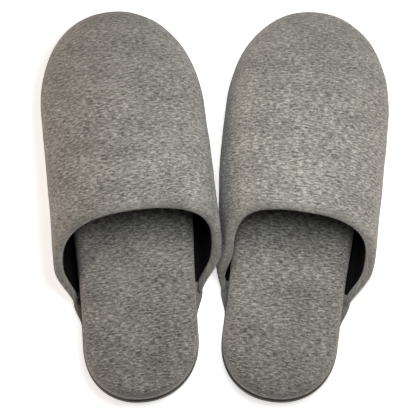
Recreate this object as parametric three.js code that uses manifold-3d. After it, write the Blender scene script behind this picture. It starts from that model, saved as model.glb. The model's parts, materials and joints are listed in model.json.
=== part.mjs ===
// A pair of closed-toe spa slippers: padded jersey vamps on soft, fabric-covered footbeds and foam outsoles.
// Millimetres, +Z up. The pair stands on z = 0 with the toes towards +Y.
// Each slipper is made in its own frame (heel end at y = 0, toe end at y = soleLength) and then set down.
import * as THREE from 'three';
import { mergeVertices } from 'three/addons/utils/BufferGeometryUtils.js';
import Module from 'manifold-3d';

const wasm = await Module();
wasm.setup();

// Outsole, the overall plan of a slipper.
const soleLength = 280;
const heelHalf = 40; // half-width across the heel
const ballHalf = 50.5; // half-width across the ball of the foot
const heelArc = 42; // length of the rounded heel end
const toeArc = 78; // length of the rounded toe end
const roundness = 2.15; // 2 is an ellipse, more is squarer
const soleThickness = 5;
const soleEdge = 0.8; // rounding of the outsole's edges

// Tread grooves across the outsole.
const grooveDepth = 1.5;
const grooveWidth = 3;
const groovePitch = 13;
const grooveBorder = 9; // plain rim left round the tread
const heelTread = [22, 84]; // from and to, measured from the heel end
const foreTread = [138, 262];

// Footbed pad: board, foam and the cover that wraps them.
const footbedHeight = 21; // top of the pad above the floor
const padRound = 6; // rounding of the pad's upper edge
const padCover = 1;
const boardThickness = 2;
const heelLedge = 0.4; // outsole left showing round the pad at the heel
const wingFlare = 1.8; // how far the vamp leans out past the outsole where it passes the pad
const wingEndY = 66; // where the vamp's wings end, measured from the heel end
const ledgeLead = 10; // the ledge begins to widen this far behind the ends of the wings
const ledgeRun = 18; // and widens over this length
const ledgeFrom = wingEndY - ledgeLead;
const ledgeTo = ledgeFrom + ledgeRun;
const coverTurnUnder = 13; // cover glued under the board

// Vamp: four layers, from the outside in.
const vampBulge = 7; // how far its fullest width stands out past the sole
const vampHalf = ballHalf + vampBulge;
const wingFill = 28; // the vamp swells from the sole's width to its fullest over this length
const wingLead = 2; // and begins to swell this far behind the ends of its wings
const toeBulge = 3; // how far it stands out past the outsole at the toe
const throatHeight = 65; // crown of the vamp at the opening
const toeHeight = 41; // crown of the vamp towards the toe end
const crownFall = 1.5; // how late the crown falls: 1 is a straight slope
const waistAbove = 6; // the fullest width lies this far above the footbed at the opening
const waistBelow = 4; // and this far below it at the toe
const sectionRoundness = 2.25;
const undercut = THREE.MathUtils.degToRad(68); // how far the lower arc turns under towards the sole
const clothThickness = 1.2;
const foamThickness = 3;
const stiffenerThickness = 0.7;
const liningThickness = 0.8;
const skivedFoam = 0.8; // thickness of foam and stiffener at the sole
const skivedStiffener = 0.5;
const skiveHeight = 4; // foam and stiffener stop this far above the outsole
const lastingMargin = 12; // cloth and lining turned in under the footbed
const pressedCloth = 1; // thickness of the cloth at the sole, where it is pulled tight

// Topline, the edge of the opening, seen from the side as (y, z).
const throatY = 123;
const wingSlope = [17, 19.5]; // the line leaves the wing's end towards this far in front and above
const throatSlope = [1.2, 21.5]; // and comes up to the crown from this far behind and below
const toplineOvershoot = 15; // it is drawn on to this far above the crown
const toplineCurve = new THREE.CubicBezierCurve(
  new THREE.Vector2(wingEndY, 0),
  new THREE.Vector2(wingEndY + wingSlope[0], wingSlope[1]),
  new THREE.Vector2(throatY - throatSlope[0], throatHeight - throatSlope[1]),
  new THREE.Vector2(throatY, throatHeight + toplineOvershoot),
);

// Seam that holds the folded edge of the cloth to the lining.
const seamInset = 6;
const threadThickness = 0.9;
const threadLowest = 34; // its two ends stop at this height
const threadSides = 5;
const threadSteps = 28;
const threadTrace = 60; // points of the topline looked at to place it

const clearance = 0.3; // between touching pieces
const beyond = 80; // cutting shapes run at least this far past what they cut

// How the pair stands. Soft slippers never stand quite straight: each crown leans sideways, each length
// is bowed a little, and the two vamps press one another in where they meet.
const left = { side: -1, toeOut: THREE.MathUtils.degToRad(6.1), lean: 9.5, bow: 3, press: -1 };
const right = { side: 1, toeOut: THREE.MathUtils.degToRad(-6.6), lean: 2.2, bow: 0.8, press: 12 };
const pairGap = 0.3; // air between the two slippers where they stand closest
const rightAhead = 1; // how far the right heel stands in front of the left
const pressY = 90; // middle of the pressed place, from the heel end
const pressLength = 40;
const pressWidth = [vampHalf - 37.5, vampHalf - 5.5]; // it grows between these distances from the middle line
const pressHeight = [7, footbedHeight + 6]; // and between these heights

// Mesh fineness.
const outlineSteps = 8;
const sectionSteps = 8;
const toeSteps = 6;
const lowSteps = 5; // of each cross-section's lower arc
const cutterSteps = 12; // of the topline
const wingSteps = 5;
const sideSteps = 4;

// Where outlines and cross-sections are drawn along a side: closely at the wings, then up to the toe arc.
const sideStations = [
  ...stationsBetween(ledgeFrom, wingEndY + wingFill, wingSteps),
  ...stationsBetween(wingEndY + wingFill, soleLength - toeArc, sideSteps),
  soleLength - toeArc,
];

function stationsBetween(from, to, count) {
  return Array.from({ length: count }, (_, i) => THREE.MathUtils.lerp(from, to, i / count));
}

// Manifold solids and three.js geometries.
function toSolid(geometry) {
  const bare = geometry.clone();
  bare.deleteAttribute('normal');
  bare.deleteAttribute('uv');
  const merged = mergeVertices(bare, 1e-4);
  const corners = merged.index.array;
  const kept = [];
  for (let i = 0; i < corners.length; i += 3) {
    const [a, b, c] = corners.slice(i, i + 3);
    if (a !== b && b !== c && c !== a) kept.push(a, b, c);
  }
  return new wasm.Manifold(
    new wasm.Mesh({
      numProp: 3,
      vertProperties: new Float32Array(merged.attributes.position.array),
      triVerts: new Uint32Array(kept),
    }),
  );
}

function toGeometry(solid) {
  const mesh = solid.getMesh();
  const geometry = new THREE.BufferGeometry();
  geometry.setAttribute('position', new THREE.BufferAttribute(mesh.vertProperties, 3));
  geometry.setIndex(new THREE.BufferAttribute(mesh.triVerts, 1));
  geometry.computeVertexNormals();
  return geometry;
}

// Plan outlines. A plan holds the half-widths and end positions of one outline.
function solePlan(inset = 0) {
  return {
    heelEnd: inset,
    toeEnd: soleLength - inset,
    heelLength: heelArc - inset,
    toeLength: toeArc - inset,
    half: (y) => soleSide(y) - inset,
  };
}

function padPlan(inset = 0) {
  return {
    heelEnd: heelLedge + inset,
    toeEnd: soleLength - foreLedge - inset,
    heelLength: heelArc - heelLedge - inset,
    toeLength: toeArc - foreLedge - inset,
    half: (y) => soleSide(y) - ledge(y) - inset,
  };
}

// Straight-sided half-width of the outsole, before its ends are rounded.
function soleSide(y) {
  const blend = THREE.MathUtils.smoothstep(y, ledgeFrom, soleLength - toeArc);
  const flare = THREE.MathUtils.smoothstep(y, ledgeFrom, ledgeTo);
  return heelHalf + (foreLedge - heelLedge) * flare
    + (ballHalf - heelHalf - foreLedge + heelLedge) * blend;
}

function ledge(y) {
  return THREE.MathUtils.lerp(heelLedge, foreLedge, THREE.MathUtils.smoothstep(y, ledgeFrom, ledgeTo));
}

// Points of an outline, counter-clockwise from the middle of the heel.
function outlinePoints(plan) {
  const power = 2 / roundness;
  const heelCentre = plan.heelEnd + plan.heelLength;
  const toeCentre = plan.toeEnd - plan.toeLength;
  const right = [];
  for (let i = 0; i < outlineSteps; i++) {
    const angle = (i / outlineSteps) * Math.PI / 2;
    right.push([
      plan.half(heelCentre) * Math.sin(angle) ** power,
      heelCentre - plan.heelLength * Math.cos(angle) ** power,
    ]);
  }
  for (const y of [heelCentre, ...sideStations.slice(0, -1)]) right.push([plan.half(y), y]);
  for (let i = 0; i <= outlineSteps; i++) {
    const angle = (i / outlineSteps) * Math.PI / 2;
    right.push([
      plan.half(toeCentre) * Math.max(Math.cos(angle), 0) ** power,
      toeCentre + plan.toeLength * Math.sin(angle) ** power,
    ]);
  }
  const left = right.slice(1, -1).reverse().map(([x, y]) => [-x, y]);
  return [...right, ...left].map(([x, y]) => new THREE.Vector2(Math.abs(x) < 1e-6 ? 0 : x, y));
}

// A flat slab of an outline between two heights.
function slab(plan, bottom, top) {
  const geometry = new THREE.ExtrudeGeometry(new THREE.Shape(outlinePoints(plan)), {
    depth: top - bottom,
    bevelEnabled: false,
  });
  return toSolid(geometry.translate(0, 0, bottom));
}

// A pad with a rounded upper edge and a square lower one.
function pad(planOf, inset, bottom, top, round) {
  const geometry = new THREE.ExtrudeGeometry(new THREE.Shape(outlinePoints(planOf(inset + round))), {
    depth: top - bottom - round,
    bevelEnabled: true,
    bevelThickness: round,
    bevelSize: round,
    bevelSegments: 3,
  });
  return toSolid(geometry.translate(0, 0, bottom)).subtract(below(bottom));
}

// Everything under a slipper, below a height.
function below(top) {
  const geometry = new THREE.BoxGeometry(4 * ballHalf, 2 * soleLength, beyond);
  return toSolid(geometry.translate(0, soleLength / 2, top - beyond / 2));
}

// Side view of the opening, extruded across the slipper; everything behind it is cut away.
function openingCutter(shift = 0) {
  const curve = toplineCurve.getPoints(cutterSteps).map((p) => new THREE.Vector2(p.x + shift, p.y));
  const foot = new THREE.Vector2(wingEndY + shift, -beyond);
  const far = [new THREE.Vector2(-beyond, curve.at(-1).y), new THREE.Vector2(-beyond, -beyond)];
  const geometry = new THREE.ExtrudeGeometry(new THREE.Shape([foot, ...curve, ...far]), {
    depth: 4 * vampHalf,
    bevelEnabled: false,
  });
  // The profile is drawn in x and y and stood up as y and z.
  geometry.applyMatrix4(new THREE.Matrix4().set(0, 0, 1, 0, 1, 0, 0, 0, 0, 1, 0, 0, 0, 0, 0, 1));
  return toSolid(geometry.translate(-2 * vampHalf, 0, 0));
}

// Crown height of the vamp over the middle line, and the height of its fullest width.
function crownHeight(y) {
  const share = THREE.MathUtils.clamp((y - throatY) / (soleLength - throatY), -1, 1);
  return throatHeight - (throatHeight - toeHeight) * Math.sign(share) * Math.abs(share) ** crownFall;
}

// Fullest half-width of the vamp, which lies close against the footbed at the ends of its wings.
function vampSide(y) {
  const swell = THREE.MathUtils.smoothstep(y, wingEndY - wingLead, wingEndY + wingFill);
  return THREE.MathUtils.lerp(soleSide(y), vampHalf, swell);
}

function waistHeight(y) {
  const forward = THREE.MathUtils.smoothstep(y, throatY, soleLength);
  return footbedHeight + THREE.MathUtils.lerp(waistAbove, -waistBelow, forward);
}

// Length of a superellipse's radius at an angle from its side axis.
function polarRadius(side, front, angle) {
  const across = (Math.cos(angle) / side) ** roundness;
  const along = (Math.sin(angle) / front) ** roundness;
  return (across + along) ** (-1 / roundness);
}

// Half of one cross-section, from the sole up to the crown, as distances from the middle line and heights.
// Round the toe the section planes fan out from the centre of the toe arc, turned by angle.
function vampSection(y, angle, inset, baseInset, base) {
  const turned = angle > 0;
  const foot = turned ? polarRadius(soleSide(y), toeArc, angle) : soleSide(y);
  const full = turned ? polarRadius(vampHalf, toeArc + toeBulge, angle) : vampSide(y);
  const low = foot - baseInset;
  const wide = full - inset;
  const wideY = y + wide * Math.sin(angle);
  const middle = waistHeight(wideY);
  const points = [];
  for (let i = 0; i < lowSteps; i++) {
    const turn = undercut * (1 - i / lowSteps);
    const out = (1 - Math.cos(turn)) / (1 - Math.cos(undercut));
    points.push([wide - (wide - low) * out, middle - (middle - base) * Math.sin(turn) / Math.sin(undercut)]);
  }
  const power = 2 / sectionRoundness;
  for (let i = 0; i <= sectionSteps; i++) {
    const turn = (i / sectionSteps) * Math.PI / 2;
    const reach = i === sectionSteps ? 0 : wide * Math.cos(turn) ** power;
    const crown = crownHeight(y + reach * Math.sin(angle)) - inset;
    points.push([reach, middle + (crown - middle) * Math.sin(turn) ** power]);
  }
  return points;
}

// Closed body inside the vamp, inset from its outer surface, down to a base height.
function vampBody(inset, baseInset, base) {
  const stations = sideStations.slice(0, -1).map((y) => [y, 0]);
  for (let i = 0; i <= toeSteps; i++) {
    stations.push([sideStations.at(-1), (i / toeSteps) * Math.PI / 2]);
  }
  const rings = stations.map(([y, angle]) => {
    const half = vampSection(y, angle, inset, baseInset, base);
    const at = (side) => ([reach, z]) =>
      new THREE.Vector3(side * reach * Math.cos(angle), y + reach * Math.sin(angle), z);
    return [...half.map(at(1)), ...half.slice(0, -1).reverse().map(at(-1))];
  });
  return toSolid(loft(rings));
}

// Skin over closed rings, flat at the first ring and meeting along a line at the last.
function loft(rings) {
  const count = rings[0].length;
  const positions = rings.flat().flatMap((p) => [Math.abs(p.x) < 1e-6 ? 0 : p.x, p.y, p.z]);
  const index = [];
  for (let r = 0; r + 1 < rings.length; r++) {
    for (let i = 0; i < count; i++) {
      const a = r * count + i;
      const b = r * count + (i + 1) % count;
      index.push(a, a + count, b, b, a + count, b + count);
    }
  }
  for (let i = 0; 2 * i + 2 < count; i++) {
    const a = i;
    const b = count - 1 - i;
    index.push(a, a + 1, b);
    if (a + 1 < b - 1) index.push(a + 1, b - 1, b);
  }
  const geometry = new THREE.BufferGeometry();
  geometry.setAttribute('position', new THREE.Float32BufferAttribute(positions, 3));
  geometry.setIndex(index);
  return geometry;
}

// A wall between two insets of the vamp, above a height and in front of the opening.
function vampWall([outer, outerBase], [inner, innerBase], bottom, shift) {
  const base = soleThickness + clearance;
  const wall = vampBody(outer, outerBase, base).subtract(vampBody(inner, innerBase, base - 1));
  return wall.subtract(below(bottom)).subtract(openingCutter(shift));
}

// The strip of a layer that is turned in under the footbed.
function turnedMargin(inset, bottom, thickness, shift) {
  const strip = slab(solePlan(inset), bottom, bottom + thickness)
    .subtract(slab(solePlan(inset + lastingMargin), bottom - 1, bottom + thickness + 1));
  return strip.subtract(openingCutter(shift));
}

// Insets of the vamp's layers: [at the fullest width, at the sole].
const clothIn = [clothThickness, pressedCloth];
const foamOut = [clothIn[0] + clearance, clothIn[1] + clearance];
const foamIn = [foamOut[0] + foamThickness, foamOut[1] + skivedFoam];
const stiffenerOut = [foamIn[0] + clearance, foamIn[1] + clearance];
const stiffenerIn = [stiffenerOut[0] + stiffenerThickness, stiffenerOut[1] + skivedStiffener];
const liningOut = [stiffenerIn[0] + clearance, stiffenerIn[1] + clearance];
const liningIn = [liningOut[0] + liningThickness, liningOut[1] + liningThickness];

// Outsole left round the pad in the front, where the vamp's layers stand on it.
const foreLedge = liningIn[0] + clearance - wingFlare;

// Heights of the layers in the sole.
const clothMarginBottom = soleThickness + clearance;
const clothMarginTop = clothMarginBottom + pressedCloth;
const liningMarginBottom = clothMarginTop + clearance;
const liningMarginTop = liningMarginBottom + liningThickness;
const padBottom = liningMarginTop + clearance;
const boardBottom = padBottom + padCover + clearance;
const foamBottom = boardBottom + boardThickness + clearance;
const foamTop = footbedHeight - padCover - clearance;

function outsole() {
  const geometry = new THREE.ExtrudeGeometry(new THREE.Shape(outlinePoints(solePlan(soleEdge))), {
    depth: soleThickness - 2 * soleEdge,
    bevelEnabled: true,
    bevelThickness: soleEdge,
    bevelSize: soleEdge,
    bevelSegments: 1,
  });
  let sole = toSolid(geometry.translate(0, 0, soleEdge));
  const tread = slab(solePlan(grooveBorder), -1, grooveDepth);
  for (const [from, to] of [heelTread, foreTread]) {
    for (let y = from; y <= to; y += groovePitch) {
      const groove = new THREE.BoxGeometry(4 * ballHalf, grooveWidth, 4 * grooveDepth);
      sole = sole.subtract(toSolid(groove.translate(0, y, 0)).intersect(tread));
    }
  }
  return sole;
}

// Foam sheet that levels the sole: full width behind the vamp, between its turned-in margins in front.
function bottomFiller() {
  const sheet = slab(padPlan(padCover), clothMarginBottom, liningMarginTop);
  const marginInside = liningOut[1] + lastingMargin + clearance;
  const inner = slab(solePlan(marginInside), 0, footbedHeight);
  return sheet.intersect(openingCutter(-clearance).add(inner));
}

function insoleBoard() {
  return slab(padPlan(padCover + clearance), boardBottom, boardBottom + boardThickness);
}

function footbedFoam() {
  const inset = padCover + clearance;
  return pad(padPlan, inset, foamBottom, foamTop, padRound - inset);
}

// Jersey drawn over foam and board and glued under the board.
function footbedCover() {
  const skin = pad(padPlan, 0, padBottom, footbedHeight, padRound);
  const hollow = pad(padPlan, padCover, padBottom + padCover, footbedHeight - padCover, padRound - padCover);
  const underside = slab(padPlan(coverTurnUnder), padBottom - 1, padBottom + padCover + 1);
  return skin.subtract(hollow).subtract(underside);
}

// Outer jersey, folded over the padded edge of the opening and turned in under the footbed.
function vampCover() {
  const cloth = vampWall([0, 0], clothIn, clothMarginBottom, 0);
  const wall = vampWall([0, 0], liningIn, liningMarginTop, 0);
  const fold = wall.intersect(openingCutter(clothThickness));
  return cloth.add(fold).add(turnedMargin(0, clothMarginBottom, pressedCloth, 0));
}

function vampFoam() {
  return vampWall(foamOut, foamIn, soleThickness + skiveHeight, clothThickness + clearance);
}

function vampStiffener() {
  return vampWall(stiffenerOut, stiffenerIn, soleThickness + skiveHeight, clothThickness + clearance);
}

function vampLining() {
  const shift = clothThickness + clearance;
  return vampWall(liningOut, liningIn, liningMarginBottom, shift)
    .add(turnedMargin(liningOut[1], liningMarginBottom, liningThickness, shift));
}

// One line of thread just inside the opening, from wing to wing.
function toplineThread() {
  const gap = clearance + threadThickness / 2;
  const inset = liningIn[0] + gap;
  const highest = throatHeight - inset;
  const along = toplineCurve.getPoints(threadTrace).filter((p) => p.y > threadLowest && p.y < highest);
  const wall = along.map((p) => {
    const y = p.x + seamInset;
    const section = vampSection(y, 0, inset, liningIn[1] + gap, soleThickness);
    const above = section.findIndex(([, z]) => z > p.y);
    const [x0, z0] = section[above - 1];
    const [x1, z1] = section[above];
    const share = (p.y - z0) / (z1 - z0);
    return new THREE.Vector3(THREE.MathUtils.lerp(x0, x1, share), y, p.y);
  });
  const points = [...wall, ...wall.slice().reverse().map((p) => new THREE.Vector3(-p.x, p.y, p.z))];
  const path = new THREE.CatmullRomCurve3(points);
  const section = new THREE.Shape(
    Array.from({ length: threadSides }, (_, i) => new THREE.Vector2(
      Math.cos((i / threadSides) * 2 * Math.PI) * threadThickness / 2,
      Math.sin((i / threadSides) * 2 * Math.PI) * threadThickness / 2,
    )),
  );
  const settings = { steps: threadSteps, extrudePath: path, bevelEnabled: false };
  return toSolid(new THREE.ExtrudeGeometry(section, settings));
}

const materials = {
  jersey: { color: 0x84827b, roughness: 0.95, metalness: 0 },
  lining: { color: 0x1c1b1d, roughness: 0.95, metalness: 0 },
  foam: { color: 0xe9e4d6, roughness: 0.9, metalness: 0 },
  nonwoven: { color: 0xd8d8d4, roughness: 0.9, metalness: 0 },
  board: { color: 0x9b7f5c, roughness: 0.85, metalness: 0 },
  sole: { color: 0x6b6a68, roughness: 0.8, metalness: 0 },
  thread: { color: 0x55534f, roughness: 0.8, metalness: 0 },
};

const pieces = [
  ['outsole', outsole, 'sole'],
  ['bottom_filler', bottomFiller, 'foam'],
  ['insole_board', insoleBoard, 'board'],
  ['footbed_foam', footbedFoam, 'foam'],
  ['footbed_cover', footbedCover, 'jersey'],
  ['vamp_cover', vampCover, 'jersey'],
  ['vamp_foam', vampFoam, 'foam'],
  ['vamp_stiffener', vampStiffener, 'nonwoven'],
  ['vamp_lining', vampLining, 'lining'],
  ['topline_thread', toplineThread, 'thread'],
];
const geometries = new Map(pieces.map(([name, make]) => [name, toGeometry(make())]));

// Sideways shift of a point of a slipper as it stands.
function sway(x, y, z, stance, pressed) {
  const lean = stance.lean * (z / throatHeight) ** 2;
  const bow = stance.bow * (1 - (2 * y / soleLength - 1) ** 2);
  const near = Math.exp(-(((y - pressY) / pressLength) ** 2))
    * THREE.MathUtils.smoothstep(-stance.side * x, ...pressWidth)
    * THREE.MathUtils.smoothstep(z, ...pressHeight);
  return lean + bow + (pressed ? stance.side * stance.press * near : 0);
}

// How far a point on a slipper's facing side, at a half-width x, stands out towards the other slipper.
function reachToNeighbour(stance, x, y, z) {
  const facing = -stance.side * x;
  const swayed = facing + sway(facing, y, z, stance, true);
  return -stance.side * (swayed * Math.cos(stance.toeOut) - y * Math.sin(stance.toeOut));
}

// Distance between the two heels that leaves just the gap where the vamps stand closest.
function spacingOfHeels() {
  const reaches = [];
  for (const y of sideStations) {
    for (const [x, z] of vampSection(y, 0, 0, 0, soleThickness)) {
      reaches.push(reachToNeighbour(left, x, y, z) + reachToNeighbour(right, x, y, z));
    }
  }
  return Math.max(...reaches) + pairGap;
}

// One slipper with its heel end at the group's own origin.
function slipper(side, stance) {
  const group = new THREE.Group();
  for (const [name, , finish] of pieces) {
    const geometry = geometries.get(name).clone();
    const corners = geometry.attributes.position;
    for (let i = 0; i < corners.count; i++) {
      const [x, y, z] = [corners.getX(i), corners.getY(i), corners.getZ(i)];
      corners.setX(i, x + sway(x, y, z, stance, name.startsWith('vamp') || name.startsWith('topline')));
    }
    geometry.computeVertexNormals();
    const mesh = new THREE.Mesh(geometry, new THREE.MeshStandardMaterial(materials[finish]));
    mesh.name = `${side}_${name}`;
    group.add(mesh);
  }
  group.rotation.z = stance.toeOut;
  return group;
}

const leftSlipper = slipper('left', left);
const rightSlipper = slipper('right', right);
rightSlipper.position.set(spacingOfHeels(), rightAhead, 0);
const pair = new THREE.Group();
pair.add(leftSlipper, rightSlipper);

// The frame's origin is the middle of the pair's box, on the floor.
const middle = new THREE.Box3().setFromObject(pair, true).getCenter(new THREE.Vector3());
pair.position.set(-middle.x, -middle.y, 0);

export default pair;
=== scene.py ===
# Pair of grey melange spa slippers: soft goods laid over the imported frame, then stage, lights and camera.
import json
import math
import bpy
import bmesh
import numpy as np
from mathutils import Matrix, Vector, noise

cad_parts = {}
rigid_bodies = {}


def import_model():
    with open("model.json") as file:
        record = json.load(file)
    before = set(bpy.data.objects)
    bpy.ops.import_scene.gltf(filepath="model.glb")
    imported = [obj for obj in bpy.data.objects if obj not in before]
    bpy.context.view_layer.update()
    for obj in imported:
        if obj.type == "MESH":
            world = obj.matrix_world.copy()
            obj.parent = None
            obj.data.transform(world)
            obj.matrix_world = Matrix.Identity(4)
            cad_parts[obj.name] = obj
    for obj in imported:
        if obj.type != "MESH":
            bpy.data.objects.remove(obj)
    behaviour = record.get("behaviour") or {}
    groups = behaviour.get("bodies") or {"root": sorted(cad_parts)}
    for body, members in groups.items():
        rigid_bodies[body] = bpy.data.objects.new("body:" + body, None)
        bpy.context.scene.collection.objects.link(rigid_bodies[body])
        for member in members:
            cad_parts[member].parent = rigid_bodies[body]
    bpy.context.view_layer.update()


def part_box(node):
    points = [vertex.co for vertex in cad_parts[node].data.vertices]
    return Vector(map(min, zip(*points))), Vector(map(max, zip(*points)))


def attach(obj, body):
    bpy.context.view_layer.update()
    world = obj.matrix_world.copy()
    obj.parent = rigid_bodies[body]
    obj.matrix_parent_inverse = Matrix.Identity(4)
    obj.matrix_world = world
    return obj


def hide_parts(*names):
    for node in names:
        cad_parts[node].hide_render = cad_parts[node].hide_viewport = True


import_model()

mm = 0.001
clothUnit = 100  # mm of cloth in one unit of a piece's lie
weldGap = 0.004  # corners closer than this are joined, mm
sliver = 0.002  # edges shorter than this are dissolved, mm
rightAngle = math.pi / 2


def say(what):
    print("slippers:", what)


def deselectAll():
    if bpy.context.mode != "OBJECT":
        bpy.ops.object.mode_set(mode="OBJECT")
    bpy.ops.object.select_all(action="DESELECT")


def pick(piece):
    deselectAll()
    piece.select_set(True)
    bpy.context.view_layer.objects.active = piece


# The last: plan and section shared by all pieces.
# Millimetres in one slipper's own frame: heel end at y 0, toes towards +y, middle line at x 0, floor at z 0.
last = {
    "soleLength": 280,
    "heelHalf": 40,
    "ballHalf": 50.5,
    "heelArc": 42,
    "toeArc": 78,
    "roundness": 2.15,
    "heelLedge": 0.4,
    "foreLedge": 5.1,
    "ledgeFrom": 56,
    "ledgeTo": 74,
    "vampHalf": 57.5,
    "wingEndY": 66,
    "wingFill": 28,
    "wingLead": 2,
    "toeBulge": 3,
    "throatY": 123,
    "throatHeight": 65,
    "toeHeight": 41,
    "crownFall": 1.5,
    "waistBack": 27,
    "waistToe": 17,
    "sectionRoundness": 2.25,
    "undercut": math.radians(68),
    "base": 5.3,
    "lowerShare": 0.25,  # share of a section's lines that lie below its fullest width
    "topline": ((66, 0), (83, 19.5), (121.8, 43.5), (123, 80)),  # edge of the opening, from the side
    "soleSteps": 48,
}

# How each slipper stands: leaning, bowed, and pressed by its neighbour.
stances = {
    "left": {"side": -1, "toeOut": math.radians(6.1), "lean": 9.5, "bow": 3, "press": -1},
    "right": {"side": 1, "toeOut": math.radians(-6.6), "lean": 2.2, "bow": 0.8, "press": 12},
}
pressed = {"y": 90, "length": 40, "width": (20, 52), "height": (7, 27)}


def smoothStep(x, low, high):
    t = np.clip((x - low) / (high - low), 0, 1)
    return t * t * (3 - 2 * t)


def soleSide(y):
    flare = smoothStep(y, last["ledgeFrom"], last["ledgeTo"])
    swell = smoothStep(y, last["ledgeFrom"], last["soleLength"] - last["toeArc"])
    step = last["foreLedge"] - last["heelLedge"]
    return last["heelHalf"] + step * flare + (last["ballHalf"] - last["heelHalf"] - step) * swell


def ledge(y):
    flare = smoothStep(y, last["ledgeFrom"], last["ledgeTo"])
    return last["heelLedge"] + (last["foreLedge"] - last["heelLedge"]) * flare


def vampSide(y):
    swell = smoothStep(y, last["wingEndY"] - last["wingLead"], last["wingEndY"] + last["wingFill"])
    return soleSide(y) + (last["vampHalf"] - soleSide(y)) * swell


def crownHeight(y):
    share = np.clip((y - last["throatY"]) / (last["soleLength"] - last["throatY"]), -1, 1)
    fall = np.sign(share) * np.abs(share) ** last["crownFall"]
    return last["throatHeight"] - (last["throatHeight"] - last["toeHeight"]) * fall


def waistHeight(y):
    share = smoothStep(y, last["throatY"], last["soleLength"])
    return last["waistBack"] + (last["waistToe"] - last["waistBack"]) * share


def polarRadius(side, front, angle):
    power = last["roundness"]
    return ((np.cos(angle) / side) ** power + (np.sin(angle) / front) ** power) ** (-1 / power)


def sectionPoint(w, y, angle, inset, baseInset, lowest):
    # w runs from the lowest height (0) up to the crown (1); angle fans the section round the toe
    turned = angle > 1e-9
    foot = np.where(turned, polarRadius(soleSide(y), last["toeArc"], angle), soleSide(y))
    toeFull = polarRadius(last["vampHalf"], last["toeArc"] + last["toeBulge"], angle)
    full = np.where(turned, toeFull, vampSide(y))
    low, wide = foot - baseInset, full - inset
    lower = last["lowerShare"]
    middle = waistHeight(y + wide * np.sin(angle))
    sine = (middle - lowest) / (middle - last["base"]) * math.sin(last["undercut"])
    start = lower * (1 - np.arcsin(np.clip(sine, 0, 1)) / last["undercut"])
    v = start + (1 - start) * w
    turn = last["undercut"] * np.clip(1 - v / lower, 0, 1)
    lowerReach = wide - (wide - low) * (1 - np.cos(turn)) / (1 - math.cos(last["undercut"]))
    lowerZ = middle - (middle - last["base"]) * np.sin(turn) / math.sin(last["undercut"])
    rise = np.clip((v - lower) / (1 - lower), 0, 1) * rightAngle
    power = 2 / last["sectionRoundness"]
    upperReach = wide * np.clip(np.cos(rise), 0, 1) ** power
    upperReach = np.where(w > 1 - 1e-9, 0, upperReach)
    crown = crownHeight(y + upperReach * np.sin(angle)) - inset
    upperZ = middle + (crown - middle) * np.sin(rise) ** power
    below = v < lower
    return np.where(below, lowerReach, upperReach), np.where(below, lowerZ, upperZ)


def bezier(points, steps):
    t = np.linspace(0, 1, steps)[:, None]
    a, b, c, d = (np.array(p, float) for p in points)
    return (1 - t) ** 3 * a + 3 * (1 - t) ** 2 * t * b + 3 * (1 - t) * t * t * c + t ** 3 * d


# How finely the opening and the lie of the cloth are worked out.
search = {"topline": 240, "from": 45.0, "to": 180.0, "halvings": 26, "girth": 60}
toplineLine = bezier(last["topline"], search["topline"])


def beyondTopline(y, z):
    # signed distance from the edge of the opening in side view, positive in the cloth in front of it
    p = np.stack([y, z], -1)[..., None, :]
    a, b = toplineLine[:-1], toplineLine[1:]
    run = b - a
    t = np.clip(((p - a) * run).sum(-1) / (run * run).sum(-1), 0, 1)
    gap = p - (a + t[..., None] * run)
    length = np.sqrt((gap * gap).sum(-1))
    k = length.argmin(-1)
    nearest = np.take_along_axis(length, k[..., None], -1)[..., 0]
    across = np.take_along_axis(gap, k[..., None, None], -2)[..., 0, :]
    side = across[..., 0] * run[k][..., 1] - across[..., 1] * run[k][..., 0]
    return np.sign(side) * nearest


def edgeY(w, distance, inset, baseInset, lowest):
    # where each line of the section crosses a line that runs along the opening at that distance
    low = np.full(w.shape, search["from"])
    high = np.full(w.shape, search["to"])
    for step in range(search["halvings"]):
        y = (low + high) / 2
        _, z = sectionPoint(w, y, np.zeros_like(w), inset, baseInset, lowest)
        inside = beyondTopline(y, z) > distance
        high = np.where(inside, y, high)
        low = np.where(inside, low, y)
    return (low + high) / 2


def layerRows(w, distance, inset, baseInset, lowest, steps):
    # one layer's surface from its back edge to the toe: x, y, z and the cloth's own lie, across and along
    back = edgeY(w, distance, inset, baseInset, lowest)
    toeCentre = last["soleLength"] - last["toeArc"]
    t = np.linspace(0, 1, steps["along"], endpoint=False) ** vamp["crowding"]
    y = back[:, None] + (toeCentre - back[:, None]) * t
    fan = np.linspace(0, rightAngle, steps["toe"])
    y = np.concatenate([y, np.full((len(w), len(fan)), float(toeCentre))], 1)
    angle = np.concatenate([np.zeros((len(w), len(t))), np.tile(fan, (len(w), 1))], 1)
    rows = np.repeat(w[:, None], y.shape[1], 1)
    reach, z = sectionPoint(rows, y, angle, inset, baseInset, lowest)
    return layOut(reach, y, z, angle, rows, inset, baseInset, lowest)


def layOut(reach, y, z, angle, rows, inset, baseInset, lowest):
    # how far round the section a point lies from the crown, which is how the cloth lies on it
    steps = search["girth"]
    fine = np.linspace(0, 1, steps)
    shape = y.shape + (steps,)
    ys, angles = (np.repeat(a[..., None], steps, -1) for a in (y, angle))
    r, h = sectionPoint(np.broadcast_to(fine, shape), ys, angles, inset, baseInset, lowest)
    run = np.hypot(np.diff(r, axis=-1), np.diff(h, axis=-1))
    whole = np.concatenate([np.zeros(y.shape + (1,)), np.cumsum(run, -1)], -1)
    k = rows * (steps - 1)
    i = np.minimum(k.astype(int), steps - 2)
    at = np.take_along_axis(whole, i[..., None], -1)[..., 0]
    after = np.take_along_axis(whole, i[..., None] + 1, -1)[..., 0]
    girth = whole[..., -1] - (at + (after - at) * (k - i))
    x = reach * np.cos(angle)
    forward = np.sin(angle)
    return np.stack([x, y + reach * forward, z, girth * np.cos(angle), y + girth * forward], -1)


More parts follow.
